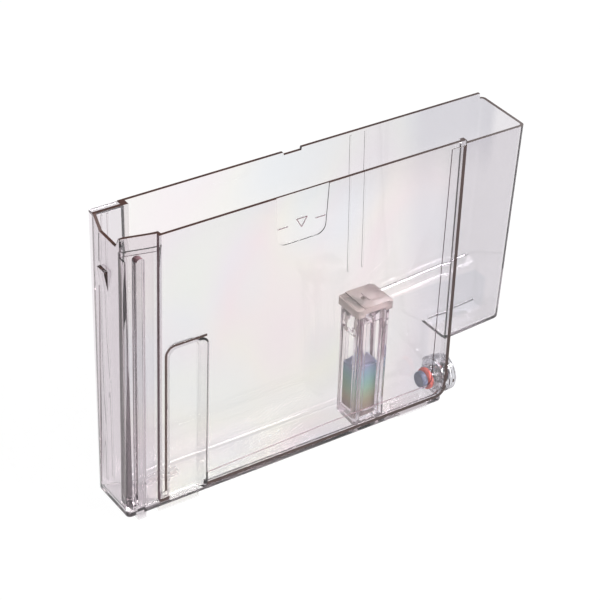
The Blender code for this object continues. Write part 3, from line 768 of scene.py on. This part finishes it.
def float_block(mat):
    x0, x1 = FLOAT_X
    y0, y1 = FLOAT_Y
    z0, z1 = FLOAT_Z
    middle = (x0 + x1) / 2
    piece = new_object("float_block", drafted_box((x0, x1, y0, y1), (x0, x1, y0, y1), z1 - 2.5, z0, 1.2))
    ridge = prism_y(((x0 + 1.2, z1 - 4), (x1 - 1.2, z1 - 4), (x1 - 1.2, z1 - 2.2), (middle + 2.5, z1),
                     (middle - 2.5, z1), (x0 + 1.2, z1 - 2.2)), y0 + 1.2, y1 - 1.2)
    lug = box(x1 - 1, x1 + 1.0, 17.0, 20.0, z1 - 12.0, z1 - 5.0)
    boolean(piece, [ridge, lug], "UNION")
    boolean(piece, [turned_z(((z0 - 2, 3.6), (z0 + 11.0, 3.6)), middle, (y0 + y1) / 2)], "DIFFERENCE")
    soften(piece, 0.35)
    return finish_piece(piece, mat, "float", "float_plastic", "float", sharp=25)


def magnet(mat):
    z0 = FLOAT_Z[0]
    profile = ((z0 + 0.5, 2.8), (z0 + 0.6, 3.1), (z0 + 0.9, 3.3), (z0 + 10.3, 3.3), (z0 + 10.6, 3.1),
               (z0 + 10.7, 2.8))
    piece = new_object("magnet", turned_z(profile, sum(FLOAT_X) / 2, sum(FLOAT_Y) / 2))
    return finish_piece(piece, mat, "float", "magnet", "float_magnet")


# ---------------------------------------------------------------- outlet valve

def knob(mat):
    back = KNOB_BACK
    profile = [(back - 3.7, 1.2), (back - 3.8, 3.2), (back - 4.0, 3.8), (back - 4.0, 4.9), (back - 3.9, 5.3),
               (back - 3.6, 5.8), (back - 3.1, 6.1), (back - 2.4, 6.2), (back - 0.4, 6.2), (back, 5.9)]
    piece = new_object("knob", turned_x(profile, VALVE_Y, VALVE_Z))
    return finish_piece(piece, mat, "valve", "navy_plastic", "valve_knob")


def seal(mat):
    x = SEAT_X
    inner = STEM_R + GAP
    profile = [(x - 3.5, inner), (x - 3.5, 6.6), (x - 3.3, 7.1), (x - 2.8, 7.6), (x - 2.1, 7.8),
               (x - 1.0, 7.8), (x - 0.5, 7.6), (x - GAP, 7.2), (x - GAP, inner)]
    piece = new_object("seal_ring", tube_x(profile, VALVE_Y, VALVE_Z))
    return finish_piece(piece, mat, "valve", "red_rubber", "valve_seal")


def stem(mat):
    head = HEAD_X
    profile = ((KNOB_BACK - 3.4, STEM_R - 0.6), (KNOB_BACK - 2.9, STEM_R - 0.15), (KNOB_BACK - 2.6, STEM_R),
               (head - 0.3, STEM_R), (head, STEM_R + 0.3), (head, HEAD_R - 0.2), (head + 0.2, HEAD_R),
               (head + 1.6, HEAD_R), (head + 2.0, HEAD_R - 0.2), (head + 2.2, HEAD_R - 0.6))
    piece = new_object("stem", turned_x(profile, VALVE_Y, VALVE_Z))
    return finish_piece(piece, mat, "valve", "natural_plastic", "valve_stem")


def spring(mat, turns=3, radius=6.4, wire=0.45, per_turn=40, sides=10):
    """A coil from the rear wall to the stem's head, at one fixed length."""
    x0, x1 = REAR_X + 2 * wire, HEAD_X - 2 * wire
    pitch = (x1 - x0) / turns
    climb = math.atan2(pitch, 2 * math.pi * radius)
    rings = []
    for i in range(turns * per_turn + 1):
        turn = 2 * math.pi * i / per_turn
        out = Vector((0.0, math.cos(turn), math.sin(turn)))
        along = Vector((0.0, -math.sin(turn), math.cos(turn)))
        across = math.cos(climb) * Vector((1.0, 0.0, 0.0)) - math.sin(climb) * along
        centre = Vector((x0 + pitch * i / per_turn, VALVE_Y, VALVE_Z)) + radius * out
        rings.append([centre + wire * (math.cos(a) * out + math.sin(a) * across) for a in circle(sides)])
    bm = bmesh.new()
    join_rings(bm, rings)
    piece = new_object("spring", bm)
    finish_piece(piece, mat, "tank", "spring_steel", "valve_spring")
    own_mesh(piece)
    return piece


# ---------------------------------------------------------------- materials

def principled(name):
    mat = bpy.data.materials.new(name)
    mat.use_nodes = True
    return mat, mat.node_tree, mat.node_tree.nodes["Principled BSDF"]


def set_inputs(shader, **values):
    for name, value in values.items():
        shader.inputs[name.replace("_", " ")].default_value = value


def clear_plastic(name, absorb, density, roughness=0.02):
    """Clear plastic that gets its colour from the length of plastic that light crosses."""
    mat, tree, shader = principled(name)
    set_inputs(shader, Base_Color=(1.0, 1.0, 1.0, 1.0), Roughness=roughness, Transmission_Weight=1.0, IOR=1.5)
    volume = tree.nodes.new("ShaderNodeVolumeAbsorption")
    volume.inputs["Color"].default_value = (*absorb, 1.0)
    volume.inputs["Density"].default_value = density
    tree.links.new(volume.outputs["Volume"], tree.nodes["Material Output"].inputs["Volume"])
    return mat, tree, shader


class Nodes:
    """Short calls for the node trees below."""

    def __init__(self, tree):
        self.tree = tree
        self.coords = self.add("ShaderNodeTexCoord").outputs["Object"]
        split = self.add("ShaderNodeSeparateXYZ")
        self.link(self.coords, split.inputs[0])
        self.x, self.y, self.z = split.outputs

    def add(self, kind, **props):
        node = self.tree.nodes.new(kind)
        for name, value in props.items():
            setattr(node, name, value)
        return node

    def link(self, output, socket):
        self.tree.links.new(output, socket)

    def smooth(self, value, low, high):
        """0 below low and 1 above high, in metres, smooth between."""
        node = self.add("ShaderNodeMapRange", interpolation_type="SMOOTHSTEP")
        self.link(value, node.inputs["Value"])
        node.inputs["From Min"].default_value = low
        node.inputs["From Max"].default_value = high
        return node.outputs["Result"]

    def math(self, operation, a, b):
        node = self.add("ShaderNodeMath", operation=operation)
        for socket, value in zip(node.inputs, (a, b)):
            if isinstance(value, (int, float)):
                socket.default_value = value
            else:
                self.link(value, socket)
        return node.outputs[0]

    def mix(self, factor, a, b, blend="MIX"):
        node = self.add("ShaderNodeMix", data_type="RGBA", blend_type=blend)
        for socket, value in ((node.inputs[0], factor), (node.inputs[6], a), (node.inputs[7], b)):
            if isinstance(value, (int, float)):
                socket.default_value = value
            elif isinstance(value, tuple):
                socket.default_value = (*value, 1.0)
            else:
                self.link(value, socket)
        return node.outputs[2]

    def noise(self, scale, detail=2.0, stretch=(1.0, 1.0, 1.0)):
        mapping = self.add("ShaderNodeMapping")
        mapping.inputs["Scale"].default_value = stretch
        self.link(self.coords, mapping.inputs["Vector"])
        node = self.add("ShaderNodeTexNoise")
        node.inputs["Scale"].default_value = scale
        node.inputs["Detail"].default_value = detail
        self.link(mapping.outputs[0], node.inputs["Vector"])
        return node.outputs["Fac"]

    def ramp(self, value, stops):
        node = self.add("ShaderNodeValToRGB")
        points = node.color_ramp.elements
        while len(points) < len(stops):
            points.new(0.5)
        for point, (place_at, colour) in zip(points, stops):
            point.position = place_at
            point.color = (*colour, 1.0)
        self.link(value, node.inputs["Fac"])
        return node.outputs["Color"]


def metres_x(x):
    return (x - LENGTH / 2) * MM


def metres_y(y):
    return (y - WIDTH / 2) * MM


def tank_plastic():
    """The shell's clear plastic: faint stress colours, and painted shade, a greyer cast painted where walls
    lie behind walls.
    """
    mat, tree, shader = clear_plastic("clear_plastic", (0.66, 0.62, 0.64), 100.0)
    n = Nodes(tree)
    stress = n.ramp(n.noise(9.0, 1.0, (1.0, 1.0, 0.8)), (
        (0.30, (0.955, 0.985, 1.0)), (0.42, (1.0, 0.995, 0.96)), (0.52, (1.0, 0.955, 0.965)),
        (0.62, (0.97, 0.975, 1.0)), (0.74, (0.965, 1.0, 0.985))))

    def along_x(low, high):
        return n.smooth(n.x, metres_x(low), metres_x(high))

    def along_y(low, high):
        return n.smooth(n.y, metres_y(low), metres_y(high))

    def below(z):
        return n.math("LESS_THAN", n.z, z * MM)

    # painted shade: the masks below darken the base colour at the nose end, the tail end, the upper far wall,
    # round the spigot and in the bay, standing in for light lost through walls behind walls
    nose = n.math("SUBTRACT", 1.0, along_x(24.0, 27.0))
    upper = n.math("MULTIPLY", n.smooth(n.z, 150.0 * MM, 196.0 * MM), along_y(28.0, 38.0))
    upper = n.math("MULTIPLY", upper, along_x(40.0, 260.0))
    spigot = n.math("MULTIPLY", along_x(256.5, 258.0), below(45.0))
    bay = n.math("MULTIPLY", along_x(212.0, 232.0), along_y(18.0, 24.0))
    bay = n.math("MULTIPLY", bay, below(SHELF_Z))
    colour = n.mix(nose, stress, (0.86, 0.825, 0.85))
    colour = n.mix(along_x(235.0, 262.0), colour, (0.88, 0.868, 0.888))
    colour = n.mix(upper, colour, (0.82, 0.825, 0.85), "MULTIPLY")
    colour = n.mix(spigot, colour, (0.80, 0.81, 0.83), "MULTIPLY")
    colour = n.mix(bay, colour, (0.90, 0.92, 0.94), "MULTIPLY")
    n.link(colour, shader.inputs["Base Color"])
    return mat


def cage_plastic():
    """Clear plastic a little darker than the shell's, with soft stress colours."""
    mat, tree, shader = clear_plastic("cage_plastic", (0.66, 0.50, 0.58), 42.0)
    n = Nodes(tree)
    colour = n.ramp(n.noise(30.0, 1.0, (1.0, 1.0, 0.4)), (
        (0.35, (0.95, 0.92, 0.97)), (0.5, (0.99, 0.96, 0.97)), (0.65, (0.96, 0.98, 1.0))))
    n.link(colour, shader.inputs["Base Color"])
    return mat


def smoke_plastic():
    """The lid's smoky plastic: partly milky, so that its far side doesn't show."""
    mat, tree, shader = clear_plastic("smoke_plastic", (0.74, 0.60, 0.55), 60.0)
    n = Nodes(tree)
    set_inputs(shader, Transmission_Weight=0.62)
    colour = n.mix(n.noise(60.0), (0.90, 0.80, 0.78), (0.84, 0.74, 0.72))
    n.link(colour, shader.inputs["Base Color"])
    return mat


def end_on_tint_and_painted_shade(name, light, dark, scale):
    """Plastic seen end on, where the tint adds up: deep colour, opaque, with a gloss; partly the plastic's
    own tint and partly painted shade.
    """
    mat, tree, shader = principled(name)
    set_inputs(shader, Roughness=0.25, IOR=1.5)
    n = Nodes(tree)
    colour = n.mix(n.noise(scale, 3.0), dark, light)
    # painted shade: the edge colour is multiplied darker towards the tail end
    colour = n.mix(n.smooth(n.x, metres_x(60.0), metres_x(290.0)), colour, (0.6, 0.6, 0.65), "MULTIPLY")
    n.link(colour, shader.inputs["Base Color"])
    return mat


def float_plastic():
    """Translucent block; stress in it shows as soft bands of colour from its base to its top."""
    mat, tree, shader = principled("float_plastic")
    set_inputs(shader, Roughness=0.22, IOR=1.45, Transmission_Weight=0.35)
    n = Nodes(tree)
    wobble = n.math("MULTIPLY", n.math("SUBTRACT", n.noise(45.0, 2.0), 0.5), 0.30)
    height = n.math("DIVIDE", n.math("SUBTRACT", n.z, FLOAT_Z[0] * MM), (FLOAT_Z[1] - FLOAT_Z[0]) * MM)
    colour = n.ramp(n.math("ADD", height, wobble), (
        (0.05, (0.66, 0.45, 0.42)), (0.28, (0.62, 0.56, 0.35)), (0.48, (0.42, 0.68, 0.48)),
        (0.68, (0.34, 0.68, 0.64)), (0.86, (0.38, 0.58, 0.78)), (0.98, (0.56, 0.54, 0.78))))
    n.link(colour, shader.inputs["Base Color"])
    return mat


def moulded(name, colour, roughness, grain, depth, metallic=0.0):
    """Opaque moulded plastic, rubber or metal with a fine grain and slight colour variation."""
    mat, tree, shader = principled(name)
    set_inputs(shader, Metallic=metallic)
    n = Nodes(tree)
    spots = n.noise(grain, 4.0)
    darker = tuple(0.82 * c for c in colour)
    n.link(n.mix(spots, colour, darker), shader.inputs["Base Color"])
    n.link(n.math("ADD", n.math("MULTIPLY", spots, 0.15), roughness), shader.inputs["Roughness"])
    bump = n.add("ShaderNodeBump")
    bump.inputs["Distance"].default_value = depth
    bump.inputs["Strength"].default_value = 0.4
    n.link(spots, bump.inputs["Height"])
    n.link(bump.outputs["Normal"], shader.inputs["Normal"])
    return mat


# ---------------------------------------------------------------- studio

def camera():
    azimuth, elevation, roll = (math.radians(angle) for angle in (AZIMUTH, ELEVATION, ROLL))
    forward = Vector((math.sin(azimuth) * math.cos(elevation), math.cos(azimuth) * math.cos(elevation),
                      -math.sin(elevation)))
    level = Vector((math.cos(azimuth), -math.sin(azimuth), 0.0))
    below = forward.cross(level)
    right = level * math.cos(roll) + below * math.sin(roll)
    down = below * math.cos(roll) - level * math.sin(roll)
    data = bpy.data.cameras.new("camera")
    data.sensor_width = 36.0
    data.lens = LENS
    data.clip_start = 0.05
    data.clip_end = 50.0
    obj = bpy.data.objects.new("camera", data)
    turn = Matrix((right, -down, -forward)).transposed().to_4x4()
    obj.matrix_world = Matrix.Translation(Vector(EYE)) @ turn
    bpy.context.scene.collection.objects.link(obj)
    bpy.context.scene.camera = obj


def floor(side=12.0):
    bm = bmesh.new()
    corners = ((-side, -side, 0), (side, -side, 0), (side, side, 0), (-side, side, 0))
    bm.faces.new([bm.verts.new(corner) for corner in corners])
    mesh = bpy.data.meshes.new("floor")
    bm.to_mesh(mesh)
    bm.free()
    obj = bpy.data.objects.new("floor", mesh)
    bpy.context.scene.collection.objects.link(obj)
    mat, _, shader = principled("floor")
    set_inputs(shader, Base_Color=(0.02, 0.02, 0.02, 1.0), Roughness=1.0, Specular_IOR_Level=0.0,
               Emission_Color=(1.0, 1.0, 1.0, 1.0), Emission_Strength=0.985)
    obj.data.materials.append(mat)


def light(name, spot, size, power):
    data = bpy.data.lights.new(name, "AREA")
    data.shape = "RECTANGLE"
    data.size, data.size_y = size
    data.energy = power
    obj = bpy.data.objects.new(name, data)
    obj.location = spot
    obj.rotation_euler = (Vector(TANK_MIDDLE) - Vector(spot)).to_track_quat("-Z", "Y").to_euler()
    bpy.context.scene.collection.objects.link(obj)


def studio():
    world = bpy.data.worlds.new("studio")
    bpy.context.scene.world = world
    world.use_nodes = True
    sky = world.node_tree.nodes["Background"]
    sky.inputs["Color"].default_value = (1.0, 1.0, 1.0, 1.0)
    sky.inputs["Strength"].default_value = 0.25
    light("key", (-0.6, -0.9, 1.6), (0.9, 0.9), 12.0)
    light("fill", (1.3, 0.6, 1.4), (1.2, 0.8), 16.0)
    light("edge", (0.75, -0.87, 1.07), (1.0, 0.7), 80.0)
    scene = bpy.context.scene
    scene.view_settings.view_transform = "Standard"
    scene.view_settings.look = "None"
    scene.cycles.max_bounces = BOUNCES
    scene.cycles.transmission_bounces = BOUNCES
    scene.cycles.glossy_bounces = 12
    scene.cycles.transparent_max_bounces = BOUNCES
    scene.cycles.use_denoising = True


camera()
floor()
studio()
# painted shade: a dark opaque colour on the faces seen end on, deeper than the plastic's own tint
edge = end_on_tint_and_painted_shade("end_on_tint_and_painted_shade", (0.040, 0.017, 0.012), (0.020, 0.009, 0.008), 60.0)
# painted shade: a dark opaque colour on the fine lines at the steps, the mark, the rail cap and the lower
# bead
fine_line_shade = end_on_tint_and_painted_shade("fine_line_painted_shade", (0.17, 0.10, 0.11), (0.10, 0.058, 0.07), 40.0)
tank_shell(tank_plastic(), edge, fine_line_shade)
cage(cage_plastic())
lid(smoke_plastic())
float_block(float_plastic())
magnet(moulded("magnet_steel", (0.2, 0.2, 0.21), 0.3, 900.0, 0.00002, metallic=1.0))
knob(moulded("navy_plastic", (0.20, 0.23, 0.37), 0.28, 1500.0, 0.00002))
seal(moulded("red_rubber", (1.0, 0.15, 0.11), 0.45, 1200.0, 0.00003))
stem(moulded("natural_plastic", (0.78, 0.78, 0.76), 0.3, 1500.0, 0.00002))
spring(moulded("spring_steel", (0.62, 0.62, 0.64), 0.2, 2500.0, 0.00001, metallic=1.0))
